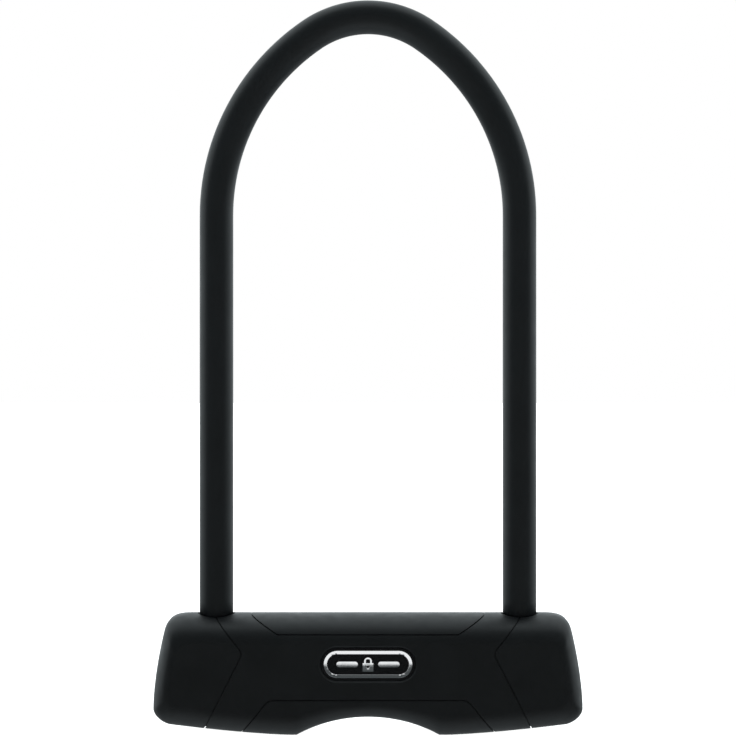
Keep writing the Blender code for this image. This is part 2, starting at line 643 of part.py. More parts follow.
def cam_slot(start):
    """A slot's outline: a spiral that moves its pin outward by equal steps as the cam turns."""
    half = DRIVE_PIN_R + SLOT_GAP
    steps = 8
    sides = {1: [], -1: []}
    for k in range(steps + 1):
        angle = start - KEY_TURN * k / steps
        radius = mix(DRIVE_X0, DRIVE_X1, k / steps)
        for out, points in sides.items():
            points.append(((radius + out * half) * math.cos(angle), (radius + out * half) * math.sin(angle)))
    first = math.degrees(start)
    last = first - math.degrees(KEY_TURN)
    start_centre = (DRIVE_X0 * math.cos(start), DRIVE_X0 * math.sin(start))
    end_angle = start - KEY_TURN
    end_centre = (DRIVE_X1 * math.cos(end_angle), DRIVE_X1 * math.sin(end_angle))
    inner_end = arc(start_centre, half, first + 180, first, 6)[1:-1]
    outer_end = arc(end_centre, half, last, last - 180, 6)[1:-1]
    return sides[1] + outer_end + sides[-1][::-1] + inner_end


def make_cylinder(rotor_rider):
    plate = [(-GUARD_HALF_X, -GUARD_HALF_Y), (GUARD_HALF_X, -GUARD_HALF_Y)]
    plate += [(GUARD_HALF_X, GUARD_HALF_Y), (-GUARD_HALF_X, GUARD_HALF_Y)]
    mouth = arc((0, 0), MOUTH_R, 0, 360, ROUND)[:-1]
    place(flat("drill_guard", [plate, mouth], "z", GUARD_Z0, GUARD_Z1), HARD_STEEL)

    profile = [
        (CASE_R, CASE_Z1),
        (CASE_R, CASE_Z0),
        (MOUTH_R, CASE_Z0),
        (MOUTH_R, CASE_FLOOR_Z),
        (CASE_BORE_R, CASE_FLOOR_Z),
        (CASE_BORE_R, CASE_Z1),
    ]
    case = turned("cylinder_case", profile, 32)
    for side, sign in SIDES:
        ends = [(sign * CASE_PIN_X, y, CASE_PIN_Z) for y in (-20 * MM, 20 * MM)]
        cut(case, cutter(rod(f"{side}_case_groove", CASE_PIN_R + PIN_FIT, *ends, 16)))
    place(case, BRASS)
    place(ring("thrust_washer", WASHER_R, WASHER_BORE_R, CASE_Z1 + WASHER_GAP, CAM_Z0 - WASHER_GAP), BRASS)

    profile = [
        (ROTOR_R, ROTOR_Z1),
        (ROTOR_R, ROTOR_Z0),
        (ROTOR_MOUTH_R, ROTOR_Z0),
        (ROTOR_MOUTH_R, ROTOR_FLOOR_Z),
        (ROTOR_BORE_R, ROTOR_FLOOR_Z),
        (ROTOR_BORE_R, ROTOR_Z1),
    ]
    rotor = turned("rotor", profile, 32)
    slit_high = (GATE_HALF_WIDTH, 9 * MM, TONGUE_Z - 0.1 * MM)
    cut(rotor, cutter(block("sidebar_slit", (-GATE_HALF_WIDTH, 5 * MM, ROTOR_FLOOR_Z), slit_high)))
    tongue_gap = TONGUE_HALF_WIDTH + FIT
    slot_low = (-9 * MM, -tongue_gap, TONGUE_Z - FIT)
    cut(rotor, cutter(block("tongue_slot", slot_low, (9 * MM, tongue_gap, 30 * MM))))
    place(rotor, BRASS, rotor_rider)

    gate = math.asin(GATE_HALF_WIDTH / DISC_R)
    rim = arc((0, 0), DISC_R, 90 + math.degrees(gate), 450 - math.degrees(gate), ROUND)
    rim += [(GATE_HALF_WIDTH, GATE_R), (-GATE_HALF_WIDTH, GATE_R)]
    keyway = arc((0, 0), KEY_R, 180, 360, 10)
    low = ROTOR_FLOOR_Z + STACK_GAP
    for k in range(2 * DISC_COUNT - 1):
        is_disc = k % 2 == 0
        name = f"disc_{k // 2 + 1}" if is_disc else f"disc_spacer_{k // 2 + 1}"
        thick = DISC_THICK if is_disc else SPACER_THICK
        place(flat(name, [rim, keyway], "z", low, low + thick), BRASS if is_disc else HARD_STEEL, rotor_rider)
        low += thick + STACK_GAP
    sidebar_low = (-SIDEBAR_HALF_WIDTH, SIDEBAR_Y0, ROTOR_FLOOR_Z + STACK_GAP)
    sidebar_high = (SIDEBAR_HALF_WIDTH, SIDEBAR_Y1, TONGUE_Z - 0.4 * MM)
    place(block("sidebar", sidebar_low, sidebar_high), HARD_STEEL, rotor_rider)

    cam_rim = arc((0, 0), CAM_R, 0, 360, 32)[:-1]
    cam = flat("cam_disc", [cam_rim, cam_slot(0), cam_slot(math.pi)], "z", CAM_Z0, CAM_Z1)
    tongue_low = (-TONGUE_HALF_LENGTH, -TONGUE_HALF_WIDTH, TONGUE_Z)
    tongue_high = (TONGUE_HALF_LENGTH, TONGUE_HALF_WIDTH, CAM_Z0 + TONGUE_ROOT)
    cut(cam, cutter(block("cam_tongue", tongue_low, tongue_high)), "UNION")
    place(cam, HARD_STEEL, rotor_rider)


def make_keyhole(leaf_rider):
    profile = [
        (BEZEL_R, BEZEL_Z1),
        (BEZEL_R, BEZEL_FLANGE_Z),
        (BEZEL_NECK_R, BEZEL_FLANGE_Z),
        (BEZEL_NECK_R, BEZEL_Z0),
        (0, BEZEL_Z0),
        (0, BEZEL_FACE_Z),
        (BEZEL_BORE_R, BEZEL_FACE_Z),
        (BEZEL_BORE_R, BEZEL_Z1),
    ]
    bezel = turned("keyhole_bezel", profile)
    slot_corner = (KEYHOLE_HALF_X, KEYHOLE_HALF_Y, 9 * MM)
    cut(bezel, cutter(block("keyhole", (-KEYHOLE_HALF_X, -KEYHOLE_HALF_Y, 5 * MM), slot_corner)))
    axis = (LEAF_AXIS_Y, LEAF_AXIS_Z)
    drill_reach = HINGE_REACH + 0.2 * MM
    drill_r = HINGE_PIN_R + 0.08 * MM
    cut(bezel, cutter(rod("bezel_pin_hole", drill_r, (-drill_reach, *axis), (drill_reach, *axis), 12)))
    place(bezel, GLOSS)

    low_z, high_z = LEAF_AXIS_Z - LEAF_THICK / 2, LEAF_AXIS_Z + LEAF_THICK / 2
    leaf = block("shutter_leaf", (-LEAF_HALF_X, LEAF_TIP_Y, low_z), (LEAF_HALF_X, LEAF_AXIS_Y, high_z))
    barrel = rod("leaf_barrel", HINGE_R, (-LEAF_HALF_X, *axis), (LEAF_HALF_X, *axis), 12)
    cut(leaf, cutter(barrel), "UNION")
    pin_drill = rod("leaf_pin_hole", drill_r, (-9 * MM, *axis), (9 * MM, *axis), 12)
    cut(leaf, cutter(pin_drill))
    place(leaf, BLACK_STEEL, leaf_rider)
    place(rod("shutter_pin", HINGE_PIN_R, (-HINGE_REACH, *axis), (HINGE_REACH, *axis), 12), HARD_STEEL)

    coil = []
    for k in range(12 * SPRING_TURNS + 1):
        angle = math.radians(30 * k)
        y = LEAF_AXIS_Y + SPRING_R * math.cos(angle)
        z = LEAF_AXIS_Z + SPRING_R * math.sin(angle)
        coil.append((SPRING_X0 + SPRING_PITCH * k / 12, y, z))
    place(swept("shutter_spring", coil, SPRING_WIRE_R, 2), HARD_STEEL)


# ---------------------------------------------------------------- the whole lock
shackle_rider = axis_empty("shackle_slide", (0, 0, FOOT_Z))
bolt_riders = [axis_empty(f"{side}_bolt_slide", (sign * NOSE_X1, 0, BOLT_Z0)) for side, sign in SIDES]
rotor_axis = axis_empty("rotor_axis", (0, 0, ROTOR_Z0))
leaf_axis = axis_empty("leaf_axis", (0, LEAF_AXIS_Y, LEAF_AXIS_Z))

make_bow(shackle_rider)
make_housing()
make_bolts(bolt_riders)
make_cylinder(rotor_axis)
make_keyhole(leaf_axis)
make_covers()
make_badge()
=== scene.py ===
"""The finish of the bicycle U-lock: its fine surfaces, materials, light and camera.

The outside pieces are made again with fine rounding and eased edges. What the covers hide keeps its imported
shape and gets eased edges and a material. Sizes are in metres, written as millimetres times MM.
"""

import json
import math
from functools import partial

import bmesh
import bpy
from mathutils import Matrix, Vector

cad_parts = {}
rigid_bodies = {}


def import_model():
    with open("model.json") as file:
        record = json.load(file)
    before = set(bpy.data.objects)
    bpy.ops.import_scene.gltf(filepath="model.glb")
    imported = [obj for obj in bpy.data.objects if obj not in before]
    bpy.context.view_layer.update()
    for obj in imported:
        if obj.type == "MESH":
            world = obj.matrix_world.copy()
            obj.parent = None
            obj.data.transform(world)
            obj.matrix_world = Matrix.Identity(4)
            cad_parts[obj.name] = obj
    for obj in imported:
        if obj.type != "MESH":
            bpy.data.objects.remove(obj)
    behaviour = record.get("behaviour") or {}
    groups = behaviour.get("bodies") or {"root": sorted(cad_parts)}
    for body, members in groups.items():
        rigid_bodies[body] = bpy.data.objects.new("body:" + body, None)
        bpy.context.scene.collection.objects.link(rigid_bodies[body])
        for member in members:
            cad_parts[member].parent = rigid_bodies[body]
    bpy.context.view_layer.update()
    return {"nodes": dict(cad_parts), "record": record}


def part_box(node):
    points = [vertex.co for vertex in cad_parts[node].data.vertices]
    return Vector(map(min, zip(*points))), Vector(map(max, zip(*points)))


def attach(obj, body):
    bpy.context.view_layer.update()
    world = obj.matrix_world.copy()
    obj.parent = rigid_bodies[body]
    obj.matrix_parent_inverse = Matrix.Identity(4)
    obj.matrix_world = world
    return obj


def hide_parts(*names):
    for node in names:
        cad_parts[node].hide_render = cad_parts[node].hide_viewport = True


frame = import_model()

MM = 0.001

# ---------------------------------------------------------------- the bow, as packed
SIDE_ARC_R, SIDE_ARC_X = 87.6 * MM, 27.0 * MM
CROWN_ARC_R = 39.7 * MM
SPRING_Z = 206.4 * MM
LEG_X = SIDE_ARC_R - SIDE_ARC_X
BAR_R, SLEEVE_R, SLEEVE_WALL = 6.0 * MM, 6.7 * MM, 0.55 * MM
NOTCH_DEPTH, NOTCH_Z0, NOTCH_Z1 = 4.0 * MM, 31.5 * MM, 40.9 * MM

# ---------------------------------------------------------------- the covers' outline, as packed
HALF_WIDTH, HALF_DEPTH, TOP_Z = 85.3 * MM, 16.0 * MM, 47.5 * MM
WIDEST_Z = 10.3 * MM
ARCH_X, ARCH_Z = 28.3 * MM, 7.4 * MM
PAD_X = 31.0 * MM
SIDE_FALL, SIDE_POWER = 0.0148 * MM, 1.66  # how the sides draw in above their widest height
FOOT_RISE, FOOT_POWER = 0.01835 * MM, 1.406  # how the underside rises beyond the foot pads
FOOT_SPACING = 1.2  # above 1, the outline's points crowd towards the pads
TOP_CORNER = (11.0 * MM, 7.0 * MM, 3.3)  # width, height and the power of its curve
FOOT_CORNER_X, FOOT_CORNER_POWER = 78.3 * MM, 1.9
COVER_WALL, SEAM = 2.0 * MM, 0.4 * MM
TOP_EDGE, TOP_BAND = 11.0 * MM, 1.5 * MM
END_EDGE, END_BAND = 7.0 * MM, 5.0 * MM
FOOT_EDGE, FOOT_BAND = 9.0 * MM, 7.0 * MM
ARCH_EDGE, ARCH_BAND = 6.0 * MM, 9.0 * MM
FACE_CORNER = 5.0 * MM
LEG_HOLE_R = 7.6 * MM
TONGUE_WALL, TONGUE_REACH, TONGUE_GAP = 1.2 * MM, 2.4 * MM, 0.1 * MM  # the tongue behind each seam

# each seam's corners in millimetres, the last number being the corner's radius
CHEVRON = ((65.4, 52.6, 0), (49.3, 33.4, 2.8), (62.1, 8.1, 30), (67.5, -3.0, 0))
TOP_SEAM = ((55.0, 52.6, 0), (35.6, 40.5, 2.5), (25.0, 40.5, 0))
FOOT_SEAM = ((30.0, 14.8, 0), (39.2, 14.8, 4), (54.0, -3.6, 0))

# ---------------------------------------------------------------- the badge and the keyhole
BADGE_Z = 29.0 * MM
POCKET = (18.7 * MM, 6.6 * MM)
PLATE = (18.4 * MM, 6.3 * MM)
RIM = (17.4 * MM, 5.3 * MM)
RIM_WIDTH = 1.3 * MM
POCKET_FLOOR_Y, PLATE_Y, RIM_Y = -15.0 * MM, -15.45 * MM, -15.95 * MM
POCKET_CHAMFER = 0.6 * MM
SET_IN = 0.05 * MM
BADGE_CROWN = 0.3 * MM  # how far the bright faces fall away towards the badge's upper and lower edges
SIGN_HALF_WIDTH, SIGN_LOW, SIGN_HIGH = 2.1 * MM, -2.8 * MM, 0.5 * MM
SIGN_BOW_R, SIGN_GAP_R, SIGN_BOW_RISE = 1.5 * MM, 0.85 * MM, 0.7 * MM
SIGN_HOLE_R, SIGN_HOLE_DROP = 0.5 * MM, 1.0 * MM
BAR_X, BAR_HALF_LENGTH, BAR_HALF_HEIGHT = 8.2 * MM, 4.2 * MM, 1.1 * MM
BEZEL_R, BEZEL_NECK_R, BEZEL_BORE_R = 8.4 * MM, 7.0 * MM, 5.9 * MM
BEZEL_Z0, BEZEL_FACE_Z, BEZEL_FLANGE_Z, BEZEL_Z1 = 7.8 * MM, 8.5 * MM, 9.55 * MM, 10.05 * MM
KEYHOLE_HALF_X, KEYHOLE_HALF_Y = 3.5 * MM, 2.0 * MM

# ---------------------------------------------------------------- the studio
CAMERA_DISTANCE, CAMERA_Z, VIEW_WIDTH = 0.86, 145.4 * MM, 294.4 * MM
DIM_GLOW, SIDES_GLOW, TOP_GLOW, FOOT_GLOW, BACK_GLOW = 0.08, 0.85, 0.15, 0.35, 0.3
# each glow grows to its full strength between two values of a direction's Y or Z
SIDES_Y, BACK_Y = (-0.4, -0.02), (0.2, 0.6)
TOP_Z_SPAN, FOOT_Z_SPAN = (0.45, 1.0), (-0.5, -0.95)
HORIZON_Z = (-0.25, 0.0)  # the sides' and the top's glow fade out downwards over this
LIGHT_TINT, WHITE = (0.91, 1.0, 1.03, 1), (1, 1, 1, 1)
SENSOR_WIDTH = 36  # the camera's, in millimetres
FLOOR_HALF, FLOOR_Z, FLOOR_LIGHT = 8.0, -0.02 * MM, 3.9
PANEL_WIDTH, PANEL_Y, PANEL_Z, PANEL_GLOW = 0.7, -200 * MM, (3 * MM, 150 * MM), 1.0

# ---------------------------------------------------------------- how finely the outside is made
EDGE_STEPS = 12
ARCH_STEPS, FOOT_STEPS, CORNER_STEPS, SIDE_STEPS, TOP_STEPS = 24, 20, 18, 16, 16
FINE_ROUND = 96
SHARP_ANGLE = math.radians(38)
FINE_WELD = 0.01 * MM
COVER_EASE = 0.2 * MM
HIDDEN_EASE, HIDDEN_EASE_SHARE, HIDDEN_SHARP_ANGLE = 0.25 * MM, 0.06, math.radians(40)
HIDDEN_WELD = 0.005 * MM
SIDES = (("left", -1), ("right", 1))
FACING = {"x": (math.radians(90), 0, math.radians(90)), "y": (math.radians(90), 0, 0), "z": (0, 0, 0)}

scene = bpy.context.scene
TOOLS = bpy.data.collections.new("tools")
scene.collection.children.link(TOOLS)


def mix(a, b, share):
    return a + (b - a) * share


# ---------------------------------------------------------------- materials
def add_node(tree, kind, **values):
    made = tree.nodes.new(kind)
    for key, value in values.items():
        made.inputs[key].default_value = value
    return made


def surface(name, colour, roughness, metallic=0.0):
    """A Principled material, given back with its tree, shader and the object's own coordinates."""
    made = bpy.data.materials.new(name)
    made.use_nodes = True
    tree = made.node_tree
    shader = tree.nodes["Principled BSDF"]
    shader.inputs["Base Color"].default_value = (*colour, 1)
    shader.inputs["Roughness"].default_value = roughness
    shader.inputs["Metallic"].default_value = metallic
    place = tree.nodes.new("ShaderNodeTexCoord").outputs["Object"]
    return made, tree, shader, place


def noise_field(tree, place, scale, detail=3.0, stretch=None):
    """Noise between 0 and 1 whose lumps are 1 / scale metres across, optionally drawn out along an axis."""
    if stretch:
        mapping = tree.nodes.new("ShaderNodeMapping")
        mapping.inputs["Scale"].default_value = stretch
        tree.links.new(place, mapping.inputs["Vector"])
        place = mapping.outputs["Vector"]
    field = add_node(tree, "ShaderNodeTexNoise", Scale=scale, Detail=detail)
    tree.links.new(place, field.inputs["Vector"])
    return field.outputs["Fac"]


def spread(tree, field, low, high, socket, start=0.3, end=0.7):
    """Maps a field onto a shader socket between two values."""
    ramp = tree.nodes.new("ShaderNodeMapRange")
    ramp.inputs["From Min"].default_value = start
    ramp.inputs["From Max"].default_value = end
    ramp.inputs["To Min"].default_value = low
    ramp.inputs["To Max"].default_value = high
    tree.links.new(field, ramp.inputs["Value"])
    tree.links.new(ramp.outputs["Result"], socket)


def tint(tree, field, dark, light, socket):
    ramp = tree.nodes.new("ShaderNodeValToRGB")
    ramp.color_ramp.elements[0].position = 0.3
    ramp.color_ramp.elements[0].color = (*dark, 1)
    ramp.color_ramp.elements[1].position = 0.7
    ramp.color_ramp.elements[1].color = (*light, 1)
    tree.links.new(field, ramp.inputs["Fac"])
    tree.links.new(ramp.outputs["Color"], socket)


def relief(tree, shader, field, height, strength=1.0):
    """Presses a field into the surface, height metres deep, over any relief already there."""
    bump = add_node(tree, "ShaderNodeBump", Strength=strength, Distance=height)
    tree.links.new(field, bump.inputs["Height"])
    earlier = shader.inputs["Normal"].links
    if earlier:
        tree.links.new(earlier[0].from_socket, bump.inputs["Normal"])
    tree.links.new(bump.outputs["Normal"], shader.inputs["Normal"])


def vinyl_material():
    """Smooth dipped vinyl: even, with the faintest orange peel and a soft sheen."""
    made, tree, shader, place = surface("fine_black_vinyl", (0.0070, 0.0092, 0.0105), 0.38)
    broad = noise_field(tree, place, 45, 2)
    tint(tree, broad, (0.0063, 0.0083, 0.0095), (0.0077, 0.0101, 0.0115), shader.inputs["Base Color"])
    spread(tree, noise_field(tree, place, 160, 3), 0.35, 0.42, shader.inputs["Roughness"])
    relief(tree, shader, noise_field(tree, place, 320, 2), 0.012 * MM, 0.5)
    relief(tree, shader, noise_field(tree, place, 2600, 3), 0.006 * MM, 0.35)
    return made


def shell_material(name, colour, roughness, grain):
    """Moulded plastic with a fine spark-eroded grain."""
    made, tree, shader, place = surface(name, colour, roughness)
    dark = [0.88 * c for c in colour]
    light = [1.15 * c for c in colour]
    tint(tree, noise_field(tree, place, 60, 2), dark, light, shader.inputs["Base Color"])
    low, high = roughness - 0.05, roughness + 0.05
    spread(tree, noise_field(tree, place, 240, 3), low, high, shader.inputs["Roughness"])
    relief(tree, shader, noise_field(tree, place, 3400, 4), grain, 0.6)
    return made


def gloss_material():
    made, tree, shader, place = surface("fine_gloss_black", (0.004, 0.004, 0.0045), 0.18)
    spread(tree, noise_field(tree, place, 700, 3), 0.14, 0.24, shader.inputs["Roughness"])
    relief(tree, shader, noise_field(tree, place, 900, 2), 0.004 * MM, 0.3)
    return made


def chrome_material():
    """Bright plating over a fine brushed face."""
    made, tree, shader, place = surface("fine_chrome", (0.78, 0.79, 0.80), 0.1, 1.0)
    brushed = noise_field(tree, place, 2500, 3, (0.06, 1, 1))
    spread(tree, brushed, 0.07, 0.15, shader.inputs["Roughness"])
    relief(tree, shader, brushed, 0.003 * MM, 0.4)
    return made


def steel_material(name, colour, low, high, stretch):
    """Ground steel, its scratches drawn out along one axis, with a few cloudy patches."""
    made, tree, shader, place = surface(name, colour, (low + high) / 2, 1.0)
    ground = noise_field(tree, place, 3000, 4, stretch)
    spread(tree, ground, low, high, shader.inputs["Roughness"])
    dark = [0.8 * c for c in colour]
    light = [1.1 * c for c in colour]
    tint(tree, noise_field(tree, place, 180, 4), dark, light, shader.inputs["Base Color"])
    relief(tree, shader, ground, 0.004 * MM, 0.5)
    return made


def nylon_material():
    made, tree, shader, place = surface("fine_grey_nylon", (0.20, 0.20, 0.21), 0.5)
    spread(tree, noise_field(tree, place, 400, 3), 0.42, 0.58, shader.inputs["Roughness"])
    relief(tree, shader, noise_field(tree, place, 1800, 3), 0.01 * MM, 0.4)
    return made


FINISHES = {
    "black_vinyl": vinyl_material(),
    "black_shell_plastic": shell_material("fine_shell", (0.0055, 0.0072, 0.0082), 0.42, 0.012 * MM),
    "gloss_black": gloss_material(),
    "chrome": chrome_material(),
    "hardened_steel": steel_material("fine_hardened_steel", (0.50, 0.50, 0.51), 0.26, 0.42, (1, 1, 0.05)),
    "black_oxide_steel": steel_material("fine_black_oxide", (0.055, 0.055, 0.058), 0.36, 0.5, (0.08, 1, 1)),
    "brass": steel_material("fine_brass", (0.72, 0.52, 0.24), 0.22, 0.36, (1, 1, 0.1)),
    "grey_nylon": nylon_material(),
}
NODE_SLOTS = {entry["node"]: entry["material_slot"] for entry in frame["record"]["subparts"]}
BODIES = frame["record"]["behaviour"]["bodies"]
NODE_BODIES = {node: body for body, nodes in BODIES.items() for node in nodes}


# ---------------------------------------------------------------- making meshes
def tool(obj):
    """A piece that only cuts: it is kept apart and not drawn."""
    for home in list(obj.users_collection):
        home.objects.unlink(obj)
    TOOLS.objects.link(obj)
    obj.hide_render = True
    return obj


def cut(obj, other, operation="DIFFERENCE"):
    modifier = obj.modifiers.new(other.name, "BOOLEAN")
    modifier.operation = operation
    modifier.solver = "EXACT"
    modifier.object = other


def baked(obj, weld=1e-6):
    """The object with its modifiers and its place worked into a new mesh."""
    bpy.context.view_layer.update()
    graph = bpy.context.evaluated_depsgraph_get()
    mesh = bpy.data.meshes.new_from_object(obj.evaluated_get(graph))
    mesh.transform(obj.matrix_world)
    bm = bmesh.new()
    bm.from_mesh(mesh)
    bmesh.ops.remove_doubles(bm, verts=bm.verts, dist=weld)
    bmesh.ops.recalc_face_normals(bm, faces=bm.faces)
    bm.to_mesh(mesh)
    bm.free()
    name = obj.name
    bpy.data.objects.remove(obj)
    made = bpy.data.objects.new(name, mesh)
    scene.collection.objects.link(made)
    return made


def mesh_piece(name, rings, closed_ring=True, caps=True, closed_run=False):
    """A skin over rings of points, all with the same count."""
    bm = bmesh.new()
    rows = [[bm.verts.new(point) for point in ring] for ring in rings]
    pairs = list(zip(rows, rows[1:]))
    if closed_run:
        pairs.append((rows[-1], rows[0]))
    for first, second in pairs:
        count = len(first)
        for k in range(count if closed_ring else count - 1):
            after = (k + 1) % count
            bm.faces.new((first[k], first[after], second[after], second[k]))
    if caps and not closed_run:
        bm.faces.new(rows[0])
        bm.faces.new(reversed(rows[-1]))
    bmesh.ops.recalc_face_normals(bm, faces=bm.faces)
    mesh = bpy.data.meshes.new(name)
    bm.to_mesh(mesh)
    bm.free()
    obj = bpy.data.objects.new(name, mesh)
    scene.collection.objects.link(obj)
    return obj


def flat(name, loops, facing, low, high):
    """A flat outline with any holes, made solid from low to high along the facing axis."""
    curve = bpy.data.curves.new(name, "CURVE")
    curve.dimensions = "2D"
    curve.fill_mode = "BOTH"
    curve.extrude = (high - low) / 2
    for loop in loops:
        spline = curve.splines.new("POLY")
        spline.points.add(len(loop) - 1)
        spline.use_cyclic_u = True
        for point, (a, b) in zip(spline.points, loop):
            point.co = (a, b, 0, 1)
    obj = bpy.data.objects.new(name, curve)
    obj.rotation_euler = FACING[facing]
    obj.location["xyz".index(facing)] = (low + high) / 2
    scene.collection.objects.link(obj)
    return baked(obj)


def drum(name, radius, x, y, low, high, sides=FINE_ROUND):
    """An upright round cutter."""
    ring = arc((x, y), radius, 0, 360, sides)[:-1]
    return mesh_piece(name, [[(a, b, low) for a, b in ring], [(a, b, high) for a, b in ring]])


def turned(name, profile, sides=FINE_ROUND):
    """A turned piece about the Z axis, from a closed (radius, height) profile."""
    rings = []
    for k in range(sides):
        angle = 2 * math.pi * k / sides
        rings.append([(r * math.cos(angle), r * math.sin(angle), z) for r, z in profile])
    return mesh_piece(name, rings, caps=False, closed_run=True)


def arc(centre, radius, start, end, steps):
    """Points along a circular arc, with its angles in degrees."""
    angles = [math.radians(start + (end - start) * k / steps) for k in range(steps + 1)]
    return [(centre[0] + radius * math.cos(a), centre[1] + radius * math.sin(a)) for a in angles]


def stadium(half_length, half_height, centre_z, steps=32, centre_x=0.0):
    middle = half_length - half_height
    right = arc((middle, centre_z), half_height, -90, 90, steps)
    loop = right + [(-x, z) for x, z in reversed(right)]
    return [(x + centre_x, z) for x, z in loop]


def applied(obj):
    """Works the modifiers into the object's own mesh and keeps its normals as they are."""
    bpy.context.view_layer.update()
    graph = bpy.context.evaluated_depsgraph_get()
    shaped = obj.evaluated_get(graph)
    mesh = bpy.data.meshes.new_from_object(shaped, preserve_all_data_layers=True, depsgraph=graph)
    obj.modifiers.clear()
    obj.data = mesh
    return obj


def shaded_like(obj, form):
    """Gives the part of a piece that lies on the form's skin the form's own smooth normals."""
    transfer = obj.modifiers.new("skin_normals", "DATA_TRANSFER")
    transfer.object = form
    transfer.use_loop_data = True
    transfer.data_types_loops = {"CUSTOM_NORMAL"}
    transfer.loop_mapping = "POLYINTERP_NEAREST"
    transfer.use_max_distance = True
    transfer.max_distance = 0.004 * MM
    return applied(obj)


def ease(obj, width):
    """Rounds an object's sharp edges and weights its normals, so that its flat faces stay flat."""
    bevel = obj.modifiers.new("eased_edges", "BEVEL")
    bevel.width = width
    bevel.segments = 3
    bevel.limit_method = "ANGLE"
    bevel.angle_limit = SHARP_ANGLE
    bevel.use_clamp_overlap = True
    normals = obj.modifiers.new("flat_normals", "WEIGHTED_NORMAL")
    normals.keep_sharp = False
    obj.data.shade_smooth()
    return obj


def stands_for(obj, node):
    """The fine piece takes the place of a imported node."""
    obj.data.materials.clear()
    obj.data.materials.append(FINISHES[NODE_SLOTS[node]])
    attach(obj, NODE_BODIES[node])
    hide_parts(node)


# ---------------------------------------------------------------- the covers' surface
def side_x(z):
    """Half the width of the covers at a height."""
    return HALF_WIDTH - SIDE_FALL * (max(z - WIDEST_Z, 0) / MM) ** SIDE_POWER


def foot_z(x):
    """The height of the covers' underside outside the arch."""
    return FOOT_RISE * (max(x - PAD_X, 0) / MM) ** FOOT_POWER


def half_outline(wall):
    """The covers' right half, or that of the hollow a wall inside them, from the arch's middle to the top's.

    Each step gives the outermost point, the point where the rounded edge runs out into the flat face, and
    half the depth of the band between the front and back edges.
    """
    steps = []
    arch_r = (ARCH_X**2 + ARCH_Z**2) / (2 * ARCH_Z)
    centre_z = ARCH_Z - arch_r
    arch_turn = math.acos((wall - centre_z) / (arch_r + wall))
    for k in range(ARCH_STEPS):
        x = (arch_r + wall) * math.sin(arch_turn * k / ARCH_STEPS)
        z = centre_z + (arch_r + wall) * math.cos(arch_turn * k / ARCH_STEPS)
        height = (z - wall) / ARCH_Z
        face = (x, mix(FOOT_EDGE, ARCH_Z + ARCH_EDGE, height))
        steps.append(((x, z), face, mix(FOOT_BAND, ARCH_BAND, height)))

    face_x = side_x(WIDEST_Z + FOOT_EDGE) - END_EDGE - FACE_CORNER
    corner_x = (arch_r + wall) * math.sin(arch_turn)
    steps.append(((corner_x, wall), (corner_x, FOOT_EDGE), FOOT_BAND))
    for k in range(FOOT_STEPS + 1):
        share = (k / FOOT_STEPS) ** FOOT_SPACING
        x = mix(PAD_X, FOOT_CORNER_X, share)
        inner = mix(PAD_X, face_x, share)
        steps.append(((x, foot_z(x) + wall), (inner, foot_z(inner) + FOOT_EDGE), FOOT_BAND))

    for k in range(1, CORNER_STEPS + 1):
        turn = math.radians(90 * k / CORNER_STEPS)
        x = mix(FOOT_CORNER_X, HALF_WIDTH - wall, math.sin(turn) ** (2 / FOOT_CORNER_POWER))
        lift = 1 - math.cos(turn) ** (2 / FOOT_CORNER_POWER)
        z = mix(foot_z(x) + wall, WIDEST_Z, lift)
        inner_x = face_x + FACE_CORNER * math.sin(turn)
        inner_z = foot_z(face_x) + FOOT_EDGE + FACE_CORNER * (1 - math.cos(turn))
        steps.append(((x, z), (inner_x, inner_z), mix(FOOT_BAND, END_BAND, k / CORNER_STEPS)))

    width, height, power = TOP_CORNER
    low = foot_z(face_x) + FOOT_EDGE + FACE_CORNER
    high = TOP_Z - TOP_EDGE - FACE_CORNER
    for k in range(1, SIDE_STEPS + 1):
        z = mix(WIDEST_Z, TOP_Z - height, k / SIDE_STEPS)
        inner = mix(low, high, k / SIDE_STEPS)
        steps.append(((side_x(z) - wall, z), (side_x(inner) - END_EDGE, inner), END_BAND))

    for k in range(1, CORNER_STEPS + 1):
        turn = math.radians(90 * k / CORNER_STEPS)
        z = TOP_Z - height + (height - wall) * math.sin(turn) ** (2 / power)
        x = side_x(z) - wall - (width - wall) * (1 - math.cos(turn) ** (2 / power))
        inner_x = side_x(high) - END_EDGE - FACE_CORNER * (1 - math.cos(turn))
        inner_z = high + FACE_CORNER * math.sin(turn)
        steps.append(((x, z), (inner_x, inner_z), mix(END_BAND, TOP_BAND, k / CORNER_STEPS)))

    top_x = x
    for k in range(1, TOP_STEPS + 1):
        share = 1 - k / TOP_STEPS
        steps.append(((top_x * share, TOP_Z - wall), (inner_x * share, TOP_Z - TOP_EDGE), TOP_BAND))
    return steps


def cover_form(name, wall=0.0):
    """The covers' outer form, or the hollow inside them, lofted from front to back."""
    half = half_outline(wall)
    whole = half + [((-a[0], a[1]), (-b[0], b[1]), band) for a, b, band in reversed(half[1:-1])]
    turns = [math.radians(90 * k / EDGE_STEPS) for k in range(EDGE_STEPS + 1)]
    rings = []
    for side in (-1, 1):
        for turn in turns if side > 0 else reversed(turns):
            inset = 1 - math.cos(turn)
            ring = []
            for outer, face, band in whole:
                y = side * mix(band, HALF_DEPTH - wall, math.sin(turn))
                ring.append((mix(outer[0], face[0], inset), y, mix(outer[1], face[1], inset)))
            rings.append(ring)
    return mesh_piece(name, rings)


